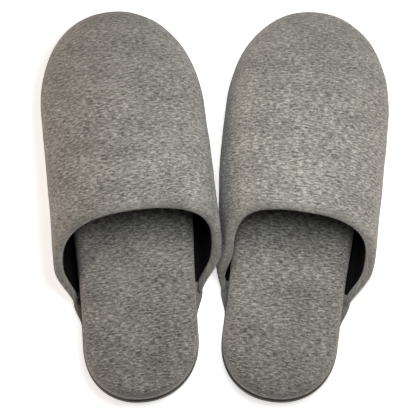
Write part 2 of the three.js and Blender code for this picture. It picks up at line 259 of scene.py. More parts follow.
def standUp(points, name, isPressed, place):
    # a point of the slipper's own frame, as the slipper stands in the pair, in metres
    stance = stances[name]
    x, y, z = points[..., 0], points[..., 1], points[..., 2]
    lean = stance["lean"] * (z / last["throatHeight"]) ** 2
    bow = stance["bow"] * (1 - (2 * y / last["soleLength"] - 1) ** 2)
    near = np.exp(-(((y - pressed["y"]) / pressed["length"]) ** 2))
    near = near * smoothStep(-stance["side"] * x, *pressed["width"]) * smoothStep(z, *pressed["height"])
    x = x + lean + bow + (stance["side"] * stance["press"] * near if isPressed else 0)
    c, s = math.cos(stance["toeOut"]), math.sin(stance["toeOut"])
    return np.stack([x * c - y * s + place[0], x * s + y * c + place[1], z], -1) * mm


def closedOutline(halfWidth, heelLength, toeLength, steps):
    # a plan, counter-clockwise from the middle of the heel: two rounded ends joined by the sides
    power = 2 / last["roundness"]
    heelCentre, toeCentre = last["heelArc"], last["soleLength"] - last["toeArc"]
    t = np.linspace(0, rightAngle, steps, endpoint=False)
    heel = np.stack([halfWidth(heelCentre) * np.sin(t) ** power,
                     heelCentre - heelLength * np.cos(t) ** power], -1)
    y = np.linspace(heelCentre, toeCentre, 2 * steps, endpoint=False)
    sides = np.stack([halfWidth(y), y], -1)
    t = np.linspace(0, rightAngle, steps + 1)
    toe = np.stack([halfWidth(toeCentre) * np.clip(np.cos(t), 0, 1) ** power,
                    toeCentre + toeLength * np.sin(t) ** power], -1)
    half = np.concatenate([heel, sides, toe])
    return np.concatenate([half, (half[1:-1] * [-1, 1])[::-1]])


def soleOutline(inset):
    return closedOutline(lambda y: soleSide(y) - inset, last["heelArc"] - inset,
                         last["toeArc"] - inset, last["soleSteps"])


def findPlace(name):
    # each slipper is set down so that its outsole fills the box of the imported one
    edge = soleOutline(0)
    flat = np.concatenate([edge, np.zeros((len(edge), 1))], 1)
    flat = standUp(flat, name, False, (0, 0)) / mm
    low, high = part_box(name + "_outsole")
    middle = (low + high) / 2 / mm
    return (middle.x - (flat[:, 0].min() + flat[:, 0].max()) / 2,
            middle.y - (flat[:, 1].min() + flat[:, 1].max()) / 2)


places = {name: findPlace(name) for name in stances}


def weldedGrid(name, grid):
    # a mesh of one grid of (x, y, z, across, along) rows, and its mirror image across the middle line
    mesh = bpy.data.meshes.new(name)
    work = bmesh.new()
    lie = work.loops.layers.uv.new("cloth")
    for half in (grid, grid * [-1, 1, 1, -1, 1]):
        rows, columns = half.shape[:2]
        corners = [[work.verts.new(half[r, c, :3]) for c in range(columns)] for r in range(rows)]
        for r in range(rows - 1):
            for c in range(columns - 1):
                ring = [(r, c), (r, c + 1), (r + 1, c + 1), (r + 1, c)]
                face = work.faces.new([corners[a][b] for a, b in ring])
                for loop, (a, b) in zip(face.loops, ring):
                    loop[lie].uv = half[a, b, 3:] / clothUnit
    bmesh.ops.remove_doubles(work, verts=work.verts, dist=weldGap)
    bmesh.ops.dissolve_degenerate(work, edges=work.edges, dist=sliver)
    bmesh.ops.recalc_face_normals(work, faces=work.faces)
    work.faces.ensure_lookup_table()
    return mesh, work


def turnOutwards(work, near):
    # the face nearest to a point above the piece has to look up
    face = min(work.faces, key=lambda f: (f.calc_center_median() - Vector(near)).length)
    if face.normal.z < 0:
        bmesh.ops.reverse_faces(work, faces=work.faces)


def finishObject(name, mesh, work, material):
    work.to_mesh(mesh)
    work.free()
    piece = bpy.data.objects.new(name, mesh)
    bpy.context.scene.collection.objects.link(piece)
    mesh.materials.append(material)
    mesh.shade_smooth()
    return piece


def setDown(piece, name, isPressed):
    mesh = piece.data
    flat = np.zeros(len(mesh.vertices) * 3)
    mesh.vertices.foreach_get("co", flat)
    mesh.vertices.foreach_set("co", standUp(flat.reshape(-1, 3), name, isPressed, places[name]).ravel())
    mesh.update()


def giveThickness(piece, thickness):
    pick(piece)
    wall = piece.modifiers.new("thickness", "SOLIDIFY")
    wall.thickness = thickness
    wall.offset = -1
    wall.use_even_offset = False
    bpy.ops.object.modifier_apply(modifier=wall.name)
    deselectAll()


def selectParts(piece, kind, test):
    # goes into edit mode with only the faces or edges that pass the test selected
    bpy.ops.object.mode_set(mode="EDIT")
    bpy.ops.mesh.select_mode(type=kind)
    bpy.ops.mesh.select_all(action="DESELECT")
    work = bmesh.from_edit_mesh(piece.data)
    for part in work.faces if kind == "FACE" else work.edges:
        part.select = test(part)
    bmesh.update_edit_mesh(piece.data)


def joinAll(pieces):
    deselectAll()
    for piece in pieces:
        piece.select_set(True)
    bpy.context.view_layer.objects.active = pieces[0]
    bpy.ops.object.transform_apply(location=True, rotation=True, scale=True)
    bpy.ops.object.join()
    return bpy.context.object


def newMaterial(name, colour):
    material = bpy.data.materials.new(name)
    material.use_nodes = True
    material.diffuse_color = (*colour, 1)
    tree = material.node_tree
    tree.nodes.clear()
    shader = tree.nodes.new("ShaderNodeBsdfPrincipled")
    out = tree.nodes.new("ShaderNodeOutputMaterial")
    tree.links.new(shader.outputs["BSDF"], out.inputs["Surface"])
    return material, tree, shader


def node(tree, kind, inputs=None, **settings):
    made = tree.nodes.new("ShaderNode" + kind)
    for key, value in settings.items():
        setattr(made, key, value)
    for key, value in (inputs or {}).items():
        if isinstance(value, bpy.types.NodeSocket):
            tree.links.new(value, made.inputs[key])
        else:
            made.inputs[key].default_value = value
    return made


def ramp(tree, value, stops):
    made = node(tree, "ValToRGB", {"Fac": value})
    bar = made.color_ramp.elements
    while len(bar) < len(stops):
        bar.new(0.5)
    for element, (position, colour) in zip(bar, stops):
        element.position = position
        element.color = (*colour, 1)
    return made.outputs["Color"]


def maths(tree, operation, a, b):
    return node(tree, "Math", {0: a, 1: b}, operation=operation).outputs[0]


def noiseOn(tree, where, stretch, detail=2.0, roughness=0.6, dimensions="2D"):
    lie = node(tree, "Mapping", {"Vector": where, "Scale": stretch})
    made = node(tree, "TexNoise", {"Vector": lie.outputs[0], "Scale": 1.0, "Detail": detail,
                                   "Roughness": roughness}, noise_dimensions=dimensions)
    return made.outputs["Fac"]


def clothLie(tree):
    # the piece's own lie of the cloth, in millimetres
    lie = node(tree, "UVMap", uv_map="cloth")
    return node(tree, "Mapping", {"Vector": lie.outputs[0], "Scale": (clothUnit, clothUnit, 1)}).outputs[0]


def addRelief(tree, shader, height, strength, depth):
    bump = node(tree, "Bump", {"Height": height, "Strength": strength, "Distance": depth})
    tree.links.new(bump.outputs[0], shader.inputs["Normal"])


def addRoughness(tree, shader, shade, atDark, atLight):
    rough = node(tree, "MapRange", {"Value": shade, "To Min": atDark, "To Max": atLight})
    tree.links.new(rough.outputs[0], shader.inputs["Roughness"])


jersey = {
    "dark": (0.051, 0.052, 0.048),
    "middle": (0.186, 0.187, 0.174),
    "light": (0.412, 0.413, 0.386),
    "waleWidth": 0.95,  # one knitted column, mm
    "courseHeight": 0.8,
    "dashLength": 4.6,  # streaks of one shade of yarn
    "dashHeight": 1.1,
    "dashNoise": (3.0, 0.72),  # detail and roughness of the noise
    "dashContrast": 1.5,
    "speckSize": (0.45, 0.8),  # specks to the millimetre, across and along
    "speckNoise": (2.0, 0.7),
    "speckContrast": 0.8,
    "mottleSize": (0.035, 0.06),
    "mottleNoise": (2.0, 0.5),
    "mottleContrast": 0.3,
    "driftSize": 0.2,
    "drift": 2.0,  # how far the streaks wander, mm
    "shades": (0.12, 0.5, 0.9),  # where dark, middle and light lie
    "edgeCalm": 0.45,  # how much fainter the streaks are on the rolled edge
    "courseLag": 2.6,  # how much the loops are drawn down between the columns
    "loopHeight": 0.14,
    "dashRise": 0.9,
    "speckRise": 0.8,
    "bump": 0.7,
    "bumpDepth": 0.0007,
    "roughness": (0.98, 0.84),  # where it is dark, where it is light
    "gloss": 0.15,
    "sheen": 0.25,
    "sheenRoughness": 0.55,
}
wavePeriod = 2 * math.pi / 20  # makes one band of a wave texture one unit wide


def makeJersey(name, paintedShade=(1, 1, 1)):
    # grey melange knit: short light and dark dashes of yarn across the cloth, fine loops, faint mottling
    material, tree, shader = newMaterial(name, jersey["middle"])
    flat = clothLie(tree)
    drift = node(tree, "Mapping", {"Vector": flat, "Scale": (jersey["driftSize"], jersey["driftSize"], 1)})
    drift = node(tree, "TexNoise", {"Vector": drift.outputs[0], "Scale": 1.0, "Detail": 2.0},
                 noise_dimensions="2D")
    drift = node(tree, "VectorMath", {0: drift.outputs["Color"], 1: (0.5, 0.5, 0.5)}, operation="SUBTRACT")
    drift = node(tree, "VectorMath", {0: drift.outputs[0], "Scale": jersey["drift"]}, operation="SCALE")
    pulled = node(tree, "VectorMath", {0: flat, 1: drift.outputs[0]}, operation="ADD").outputs[0]
    dashSize = (1 / jersey["dashLength"], 1 / jersey["dashHeight"], 1)
    dashes = noiseOn(tree, pulled, dashSize, *jersey["dashNoise"])
    specks = noiseOn(tree, pulled, (*jersey["speckSize"], 1), *jersey["speckNoise"])
    mottle = noiseOn(tree, flat, (*jersey["mottleSize"], 1), *jersey["mottleNoise"])
    rolled = node(tree, "Attribute", attribute_name="rolled").outputs["Fac"]  # 1 on the rolled edge
    plain = maths(tree, "SUBTRACT", 1.0, maths(tree, "MULTIPLY", rolled, jersey["edgeCalm"]))
    shade, fine, broad = (maths(tree, "MULTIPLY", maths(tree, "SUBTRACT", value, 0.5), contrast)
                          for value, contrast in ((dashes, jersey["dashContrast"]),
                                                  (specks, jersey["speckContrast"]),
                                                  (mottle, jersey["mottleContrast"])))
    shade = maths(tree, "MULTIPLY", maths(tree, "ADD", shade, fine), plain)
    shade = maths(tree, "ADD", maths(tree, "ADD", shade, broad), 0.5)
    # a factor below one darkens all three tones: painted shade, for a shaded copy of the jersey
    tone = [tuple(c * t for c, t in zip(jersey[k], paintedShade)) for k in ("dark", "middle", "light")]
    colour = ramp(tree, shade, list(zip(jersey["shades"], tone)))
    tree.links.new(colour, shader.inputs["Base Color"])
    wales = node(tree, "TexWave", {"Vector": pulled, "Scale": wavePeriod / jersey["waleWidth"],
                                   "Distortion": 0.0}, bands_direction="X").outputs["Fac"]
    lag = maths(tree, "MULTIPLY", wales, jersey["courseLag"])
    courses = node(tree, "TexWave", {"Vector": pulled, "Scale": wavePeriod / jersey["courseHeight"],
                                     "Distortion": 0.0, "Phase Offset": lag}, bands_direction="Y")
    loops = maths(tree, "ADD", wales, courses.outputs["Fac"])
    height = maths(tree, "MULTIPLY", loops, jersey["loopHeight"])
    height = maths(tree, "ADD", height, maths(tree, "MULTIPLY", dashes, jersey["dashRise"]))
    height = maths(tree, "ADD", height, maths(tree, "MULTIPLY", specks, jersey["speckRise"]))
    addRelief(tree, shader, height, jersey["bump"], jersey["bumpDepth"])
    addRoughness(tree, shader, shade, *jersey["roughness"])
    shader.inputs["Specular IOR Level"].default_value = jersey["gloss"]
    shader.inputs["Sheen Weight"].default_value = jersey["sheen"]
    shader.inputs["Sheen Roughness"].default_value = jersey["sheenRoughness"]
    return material


weave = {
    "share": 0.4,  # of the threads in the shade, and of the lint on them
    "lintShare": 0.6,
    "lint": (0.5, 0.5, 1),
    "lintNoise": (3.0, 0.7),
    "shades": (0.25, 0.8),
    "bump": 0.4,
    "roughness": (0.97, 0.85),
    "gloss": 0.1,
}


def makeCloth(name, dark, light, thread, bumpDepth, sheen):
    # plain close weave, on the piece's own lie of the cloth
    material, tree, shader = newMaterial(name, light)
    flat = clothLie(tree)
    size = wavePeriod / thread
    warp = node(tree, "TexWave", {"Vector": flat, "Scale": size}, bands_direction="X").outputs["Fac"]
    weft = node(tree, "TexWave", {"Vector": flat, "Scale": size}, bands_direction="Y").outputs["Fac"]
    threads = maths(tree, "MULTIPLY", maths(tree, "ADD", warp, weft), 0.5)
    lint = noiseOn(tree, flat, weave["lint"], *weave["lintNoise"])
    shade = maths(tree, "ADD", maths(tree, "MULTIPLY", threads, weave["share"]),
                  maths(tree, "MULTIPLY", lint, weave["lintShare"]))
    colour = ramp(tree, shade, list(zip(weave["shades"], (dark, light))))
    tree.links.new(colour, shader.inputs["Base Color"])
    addRelief(tree, shader, shade, weave["bump"], bumpDepth)
    addRoughness(tree, shader, shade, *weave["roughness"])
    shader.inputs["Specular IOR Level"].default_value = weave["gloss"]
    shader.inputs["Sheen Weight"].default_value = sheen
    return material


foam = {
    "share": 0.45,  # of the cells in the shade, and of the broad mottling
    "mottleShare": 0.6,
    "mottle": (60, 60, 60),
    "mottleNoise": (3.0, 0.6),
    "shades": (0.2, 0.75),
    "bump": 0.35,
    "roughest": 0.96,
    "gloss": 0.25,
}


def makeFoam(name, dark, light, cell, bumpDepth, roughAtDark=0.8):
    # fine cells on the piece's own coordinates
    material, tree, shader = newMaterial(name, light)
    place = node(tree, "TexCoord").outputs["Object"]
    size = 1 / (cell * mm)
    cells = node(tree, "TexVoronoi", {"Vector": place, "Scale": size}).outputs["Distance"]
    mottle = noiseOn(tree, place, foam["mottle"], *foam["mottleNoise"], "3D")
    shade = maths(tree, "ADD", maths(tree, "MULTIPLY", cells, foam["share"]),
                  maths(tree, "MULTIPLY", mottle, foam["mottleShare"]))
    colour = ramp(tree, shade, list(zip(foam["shades"], (dark, light))))
    tree.links.new(colour, shader.inputs["Base Color"])
    addRelief(tree, shader, shade, foam["bump"], bumpDepth)
    addRoughness(tree, shader, shade, roughAtDark, foam["roughest"])
    shader.inputs["Specular IOR Level"].default_value = foam["gloss"]
    return material


materials = {
    "jersey": makeJersey("melangeJersey"),
    # The footbed's cover is the vamp's jersey darkened to 0.88: painted shade for the shade the footbed lies
    # in.
    "footbedJerseyPaintedShade": makeJersey("footbedMelange", (0.88, 0.88, 0.88)),
    # The lining is black cloth made darker still, near black: partly its own colour, partly painted shade
    # deep inside the opening.
    "lining": makeCloth("darkLining", (0.0015, 0.0015, 0.002), (0.005, 0.005, 0.0055), 0.45, 0.0003, 0.0),
    "stiffener": makeCloth("nonwovenBacking", (0.55, 0.55, 0.53), (0.78, 0.78, 0.75), 1.3, 0.0003, 0.1),
    "padding": makeFoam("paddingFoam", (0.66, 0.62, 0.52), (0.86, 0.83, 0.74), 0.9, 0.0003),
    "sole": makeFoam("soleFoam", (0.11, 0.109, 0.105), (0.17, 0.168, 0.16), 0.7, 0.00025, 0.72),
    "board": makeFoam("fibreBoard", (0.30, 0.21, 0.12), (0.45, 0.35, 0.22), 1.6, 0.0002),
    "thread": makeFoam("sewingThread", (0.03, 0.03, 0.03), (0.09, 0.088, 0.085), 0.35, 0.0001),
}
say("materials mixed")


# The vamp: cover, foam, stiffener and lining, from the outside in.
vamp = {
    "rows": 64,
    "along": 52,
    "toe": 34,
    "crowding": 1.15,  # lines lie closer together towards the opening
    "roll": 3.3,  # radius of the rolled edge of the opening
    "rollSteps": 14,
    "edgeFade": (2.2, 4.2),  # streaks grow back to full strength between these distances from the edge
    "foldDepth": (4.6, 9.3),  # how far the cloth reaches inside the opening: at the wings, at the crown
    "foldSteps": 6,
    "foldGrows": (0.35, 0.8),  # the fold deepens over this share of the way up
    "wallInset": (6.6, 4.0),  # lining's inner face: at the fullest width, at the sole
    "clothThickness": 0.8,
    "fill": 0.7,
    "foldLowest": 7.7,
    "margin": (4, 8, 12),  # cloth turned in under the footbed
    "unevenness": 0.32,
    "unevenSize": 17,
    "topPoint": (0, 160, last["throatHeight"]),  # a place just above the vamp
}


def foldDepth(w):
    low, high = vamp["foldDepth"]
    return low + (high - low) * smoothStep(w, *vamp["foldGrows"])


def vampGrid():
    w = np.linspace(0, 1, vamp["rows"])
    steps = {"along": vamp["along"], "toe": vamp["toe"]}
    outer = layerRows(w, vamp["roll"], 0, 0, last["base"], steps)
    full, atSole = vamp["wallInset"]

    def inside(distance):  # a point of the wall's inner face at that distance from the edge
        y = edgeY(w, distance, full, atSole, vamp["foldLowest"])
        reach, z = sectionPoint(w, y, np.zeros_like(w), full, atSole, vamp["foldLowest"])
        return np.stack([reach, y, z], -1)

    half = (full / 2, atSole / 2)
    lowTip = (last["base"] + vamp["foldLowest"]) / 2
    tipY = edgeY(w, 0.0, half[0], half[1], lowTip)
    tipX, tipZ = sectionPoint(w, tipY, np.zeros_like(w), half[0], half[1], lowTip)
    tip = np.stack([tipX, tipY, tipZ], -1)
    fore, aft = outer[:, 0, :3], inside(vamp["roll"])
    centre = (fore + aft) / 2
    rim = outer[:, 0, 3:]
    along = np.gradient(rim, axis=0)
    over = np.stack([along[:, 1], -along[:, 0]], -1)  # the cloth goes over the edge square to it
    over *= (-np.sign(over[:, 1]) / np.hypot(over[:, 0], over[:, 1]))[:, None]
    depth = foldDepth(w)
    columns = []
    for share in np.linspace(1, 0, vamp["foldSteps"], endpoint=False):
        past = (depth - vamp["roll"]) * share
        lie = rim + over * (math.pi * vamp["roll"] + past)[:, None]
        columns.append(np.concatenate([inside(vamp["roll"] + past), lie], -1))
    for turn in np.linspace(math.pi, 0, vamp["rollSteps"], endpoint=False):
        point = centre + (fore - centre) * math.cos(turn) + (tip - centre) * math.sin(turn)
        columns.append(np.concatenate([point, rim + over * turn * vamp["roll"]], -1))
    grid = np.concatenate([np.stack(columns, 1), outer], 1)
    return addMargin(grid, len(columns), vamp["margin"], last["base"])


def addMargin(grid, skip, margin, height):
    # rows that run in under the footbed from the lowest row
    rows = []
    edge = grid[0]
    toeCentre = last["soleLength"] - last["toeArc"]
    away = np.stack([edge[:, 0], np.maximum(edge[:, 1] - toeCentre, 0)], -1)
    away = away / np.maximum(np.hypot(away[:, 0], away[:, 1]), 1e-9)[:, None]
    away[:skip] = 0
    for width in margin:
        row = edge.copy()
        row[:, :2] -= away * width
        row[:, 3:] += away * width
        row[skip:, 2] = height
        rows.insert(0, row)
    return np.concatenate([np.array(rows), grid], 0)


def softenSurface(work, depth, size, seed):
    work.normal_update()
    moves = [v.normal * (noise.noise(v.co / size + Vector((seed, 0, 0))) * depth) for v in work.verts]
    for v, move in zip(work.verts, moves):
        if not v.is_boundary:
            v.co += move


def markRolledEdge(mesh):
    flat = np.zeros(len(mesh.vertices) * 3)
    mesh.vertices.foreach_get("co", flat)
    y, z = flat.reshape(-1, 3)[:, 1:].T
    rolled = 1 - smoothStep(np.abs(beyondTopline(y, z)), *vamp["edgeFade"])
    mesh.attributes.new("rolled", "FLOAT", "POINT").data.foreach_set("value", rolled)


def makeVampCover(name, seed):
    mesh, work = weldedGrid(name + "_vamp_cover", vampCoverGrid)
    turnOutwards(work, vamp["topPoint"])
    softenSurface(work, vamp["unevenness"], vamp["unevenSize"], seed)
    piece = finishObject(name + "_vamp_cover_jersey", mesh, work, materials["jersey"])
    shiftLie(mesh, seed)
    markRolledEdge(mesh)
    giveThickness(piece, vamp["clothThickness"])
    setDown(piece, name, True)
    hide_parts(name + "_vamp_cover")
    return piece


inner = {
    "foam": {"node": "vamp_foam", "outer": (1.5, 1.3), "inner": (4.5, 2.1), "from": 2.6},
    "stiffener": {"node": "vamp_stiffener", "outer": (4.8, 2.4), "inner": (5.5, 2.9), "from": 2.8},
    "lowest": 9.0,
    "fill": 0.5,
    "rows": 40,
    "along": 30,
    "toe": 22,
}
lining = {
    "cut": (0.203, 0.228),  # size of the blank and area of the shape cut from it, in metres
    "cutArea": 0.0305,
    "thickness": 0.8,
    "gap": 0.3,  # between the folded cloth's raw edge and the lining
    "lowest": 7.4,
    "margin": (4, 8, 12),
    "rows": 56,
    "along": 44,
    "toe": 30,
}


def closedLayer(name, layer, material):
    w = np.linspace(0, 1, inner["rows"])
    steps = {"along": inner["along"], "toe": inner["toe"]}
    outside = layerRows(w, layer["from"], *layer["outer"], inner["lowest"], steps)
    inside = layerRows(w, layer["from"], *layer["inner"], inner["lowest"], steps)
    work = bmesh.new()
    lie = work.loops.layers.uv.new("cloth")
    for side in (1, -1):
        flip = [side, 1, 1, side, 1]
        skins = []
        for skin in (outside * flip, inside * flip):
            rows, columns = skin.shape[:2]
            skins.append([[work.verts.new(skin[r, c, :3]) for c in range(columns)] for r in range(rows)])
        uv = {}
        for skin, grid in zip(skins, (outside * flip, inside * flip)):
            for r in range(rows):
                for c in range(columns):
                    uv[skin[r][c]] = grid[r, c, 3:] / clothUnit
        quads = []
        for skin in skins:
            quads += [(skin[r][c], skin[r][c + 1], skin[r + 1][c + 1], skin[r + 1][c])
                      for r in range(rows - 1) for c in range(columns - 1)]
        a, b = skins
        quads += [(a[r][0], a[r + 1][0], b[r + 1][0], b[r][0]) for r in range(rows - 1)]
        quads += [(a[0][c], a[0][c + 1], b[0][c + 1], b[0][c]) for c in range(columns - 1)]
        for quad in quads:
            face = work.faces.new(quad)
            for loop in face.loops:
                loop[lie].uv = uv[loop.vert]
    bmesh.ops.remove_doubles(work, verts=work.verts, dist=weldGap)
    bmesh.ops.dissolve_degenerate(work, edges=work.edges, dist=sliver)
    bmesh.ops.recalc_face_normals(work, faces=work.faces)
    mesh = bpy.data.meshes.new(name + "_" + layer["node"] + "_layer")
    piece = finishObject(mesh.name, mesh, work, materials[material])
    setDown(piece, name, True)
    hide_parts(name + "_" + layer["node"])
    return piece


def makeLining(name):
    w = np.linspace(0, 1, lining["rows"])
    grid = layerRows(w, foldDepth(w) + lining["gap"], *vamp["wallInset"], lining["lowest"],
                     {"along": lining["along"], "toe": lining["toe"]})
    grid = addMargin(grid, 0, lining["margin"], lining["lowest"])
    mesh, work = weldedGrid(name + "_vamp_lining", grid)
    turnOutwards(work, vamp["topPoint"])
    bmesh.ops.reverse_faces(work, faces=work.faces)  # its good side looks inwards
    # its near-black cloth is partly painted shade inside the opening
    piece = finishObject(name + "_vamp_lining_cloth", mesh, work, materials["lining"])
    giveThickness(piece, lining["thickness"])
    setDown(piece, name, True)
    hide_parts(name + "_vamp_lining")
    return piece


# The row of stitches just inside the opening.
stitch = {
    "inset": 1.2,  # from the fold's raw edge
    "length": 3.0,
    "pitch": 4.2,
    "thickness": 0.55,
    "lowestShare": 0.16,  # the two ends of the row lie this far up the section
    "points": 160,  # along half of the row, to measure it out
    "span": (0.1, 0.6),  # where a stitch starts and ends, in shares of the pitch
    "standOff": 0.4,  # from the folded cloth to its middle, as a share of its thickness
    "endInset": 0.3,  # how its ends are rounded, in shares of its thickness
    "endDepth": 0.35,
}


def makeStitch():
    # one short stitch, lying along x: a round bar with its ends drawn in
    deselectAll()
    bpy.ops.mesh.primitive_cylinder_add(vertices=8, radius=stitch["thickness"] / 2 * mm,
                                        depth=stitch["length"] * mm, rotation=(0, rightAngle, 0))
    bar = bpy.context.object
    bpy.ops.object.transform_apply(location=True, rotation=True, scale=True)
    selectParts(bar, "FACE", lambda face: abs(face.normal.x) > 0.9)
    bpy.ops.mesh.inset(thickness=stitch["thickness"] * stitch["endInset"] * mm,
                       depth=stitch["thickness"] * stitch["endDepth"] * mm, use_individual=True)
    bpy.ops.object.mode_set(mode="OBJECT")
    deselectAll()
    return bar


def makeStitches(name, pattern):
    full, atSole = vamp["wallInset"]
    off = stitch["thickness"] * stitch["standOff"]
    full, atSole = full + off, atSole + off
    w = np.linspace(stitch["lowestShare"], 1, stitch["points"])
    y = edgeY(w, foldDepth(w) - stitch["inset"], full, atSole, vamp["foldLowest"])
    reach, z = sectionPoint(w, y, np.zeros_like(w), full, atSole, vamp["foldLowest"])
    half = np.stack([reach, y, z], -1)
    line = np.concatenate([half, (half[:-1] * [-1, 1, 1])[::-1]])
    line = standUp(line, name, True, places[name])
    run = np.concatenate([[0], np.cumsum(np.sqrt((np.diff(line, axis=0) ** 2).sum(-1)))])
    count = int(run[-1] / (stitch["pitch"] * mm))
    copies = []
    for k in range(count):
        at, after = ((k + share) * run[-1] / count for share in stitch["span"])
        a, b = (Vector([np.interp(s, run, line[:, i]) for i in range(3)]) for s in (at, after))
        copy = pattern.copy()
        copy.data = pattern.data.copy()
        bpy.context.scene.collection.objects.link(copy)
        turn = (b - a).to_track_quat("X", "Z").to_matrix().to_4x4()
        copy.matrix_world = Matrix.Translation((a + b) / 2) @ turn
        copies.append(copy)
    seam = joinAll(copies)
    seam.name = seam.data.name = name + "_topline_stitches"
    seam.data.materials.clear()
    seam.data.materials.append(materials["thread"])
    seam.data.shade_smooth()
    deselectAll()
    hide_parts(name + "_topline_thread")
    return seam


# The footbed's pad, swollen by pressure under its cover.
pad = {
    "bottom": 7.7,
    "top": 21,
    "round": 6,
    "steps": 40,
    "voxel": 4.0,
    "startInset": 0.9,
    "startLift": 0.2,
    "pressure": 4.0,
    "frames": 20,
    "quality": 6,  # solver steps to a frame
    "mass": 0.25,
    "stretchStiffness": 12,
    "shearStiffness": 5,
    "bendStiffness": 0.6,
    "relax": (0.5, 3),  # strength and rounds of smoothing
    "cap": 5.0,  # no point moves further than this
    "crown": 1.1,  # how far the middle may rise
    "edgeGap": 0.2,
    "edgeRound": 7.5,  # rounding of its upper edge once covered
    "drawnOut": 10,  # the cover is drawn out to the edge over this width
    "glued": 2.5,  # the lowest part is held by the board
    "bendSteps": 7,
    "topRings": (13, 20, 27, 33),  # insets of the rings on the flat top
    "roofGap": 0.15,
    "crownRun": (4, 24),  # the middle rises between these distances from the edge
    "boardTop": 11.3,
    "coverThickness": 1.2,
    "fill": 0.75,
}


def footbedOutline(inset):
    heelLength = last["heelArc"] - last["heelLedge"] - inset
    toeLength = last["toeArc"] - last["foreLedge"] - inset
    return closedOutline(lambda y: soleSide(y) - ledge(y) - inset, heelLength, toeLength, pad["steps"])


def padDepth(x, y):
    # how far inside the footbed's plan a point lies, and the way out
    heelCentre, toeCentre = last["heelArc"], last["soleLength"] - last["toeArc"]
    within = np.clip(y, heelCentre, toeCentre)
    side = soleSide(within) - ledge(within)
    heelLength = last["heelArc"] - last["heelLedge"]
    toeLength = last["toeArc"] - last["foreLedge"]
    past = np.where(y < heelCentre, y - heelCentre, np.where(y > toeCentre, y - toeCentre, 0))
    front = np.where(y < heelCentre, heelLength, toeLength)
    radius = np.hypot(x, past)
    angle = np.arctan2(np.abs(past), np.abs(x))
    out = np.stack([x, past], -1) / np.maximum(radius, 1e-6)[:, None]
    return polarRadius(side, front, angle) - radius, out


def makeStartPad():
    # closed pad with a rounded upper edge, a little smaller than it will be
    small = pad["startInset"]
    top, low, bend = pad["top"] - small, pad["bottom"] + pad["startLift"], pad["round"]
    levels = [(small, low), (small, (low + top - bend) / 2)]
    for turn in np.linspace(0, rightAngle, pad["bendSteps"]):
        levels.append((small + bend * (1 - math.cos(turn)), top - bend + bend * math.sin(turn)))
    levels += [(inset, top) for inset in pad["topRings"]]
    work = bmesh.new()
    rings = [[work.verts.new((x * mm, y * mm, z * mm)) for x, y in footbedOutline(inset)]
             for inset, z in levels]
    for low, high in zip(rings, rings[1:]):
        for a in range(len(low)):
            b = (a + 1) % len(low)
            work.faces.new((low[a], low[b], high[b], high[a]))
    work.faces.new(rings[-1])
    work.faces.new(rings[0][::-1])
    bmesh.ops.triangulate(work, faces=[f for f in work.faces if len(f.verts) > 4])
    bmesh.ops.recalc_face_normals(work, faces=work.faces)
    mesh = bpy.data.meshes.new("footbed_pattern")
    piece = finishObject("footbed_pattern", mesh, work, materials["jersey"])
    pick(piece)
    mesh.remesh_voxel_size = pad["voxel"] * mm
    mesh.remesh_voxel_adaptivity = 0
    bpy.ops.object.voxel_remesh()
    return piece


def coordinates(mesh):
    flat = np.zeros(len(mesh.vertices) * 3)
    mesh.vertices.foreach_get("co", flat)
    return flat.reshape(-1, 3)


def drawToEdge(points):
    # the cover is drawn out to the pad's own edge, and stays inside its space, clear of the wings beside it
    x, y, z = (points / mm).T
    depth, out = padDepth(x, y)
    bend = pad["edgeRound"]
    rise = np.clip(z - (pad["top"] - bend), 0, bend)
    edge = bend - np.sqrt(np.maximum(bend ** 2 - rise ** 2, 0)) + pad["edgeGap"]
    near = 1 - smoothStep(depth - edge, 0, pad["drawnOut"])
    move = (depth - edge) * near
    x, y = x + out[:, 0] * move, y + out[:, 1] * move
    roof = pad["top"] - pad["roofGap"] + pad["crown"] * smoothStep(depth, *pad["crownRun"])
    return np.stack([x, y, np.clip(z, pad["bottom"], roof)], -1) * mm


def swell(piece):
    start = coordinates(piece.data)
    glued = piece.vertex_groups.new(name="glued")
    glued.add([i for i, p in enumerate(start) if p[2] < (pad["bottom"] + pad["glued"]) * mm], 1.0, "REPLACE")
    pick(piece)
    cloth = piece.modifiers.new("swell", "CLOTH")
    fabric = cloth.settings
    fabric.quality = pad["quality"]
    fabric.mass = pad["mass"]
    fabric.tension_stiffness = fabric.compression_stiffness = pad["stretchStiffness"]
    fabric.shear_stiffness = pad["shearStiffness"]
    fabric.bending_stiffness = pad["bendStiffness"]
    fabric.use_pressure = True
    fabric.uniform_pressure_force = pad["pressure"]
    fabric.effector_weights.gravity = 0
    fabric.vertex_group_mass = "glued"
    cloth.collision_settings.use_collision = False
    for step in range(1, pad["frames"] + 1):
        bpy.context.scene.frame_set(step)
    bpy.ops.object.modifier_apply(modifier=cloth.name)
    bpy.context.scene.frame_set(1)
    move = coordinates(piece.data) - start
    length = np.sqrt((move ** 2).sum(-1))
    limit = pad["cap"] * mm
    move *= np.minimum(1, limit / np.maximum(length, 1e-9))[:, None]
    piece.data.vertices.foreach_set("co", (start + move).ravel())
    piece.data.update()
    return length.max() / mm


def makePattern():
    piece = makeStartPad()
    say("footbed swells by up to %.1f mm before it is capped" % swell(piece))
    points = drawToEdge(coordinates(piece.data))
    piece.data.vertices.foreach_set("co", points.ravel())
    piece.vertex_groups.clear()
    pick(piece)
    relax = piece.modifiers.new("relax", "SMOOTH")
    relax.factor, relax.iterations = pad["relax"]
    bpy.ops.object.modifier_apply(modifier=relax.name)
    finer = piece.modifiers.new("finer", "SUBSURF")
    finer.levels = finer.render_levels = 1
    bpy.ops.object.modifier_apply(modifier=finer.name)
    points = drawToEdge(coordinates(piece.data))
    piece.data.vertices.foreach_set("co", points.ravel())
    piece.data.update()
    return piece


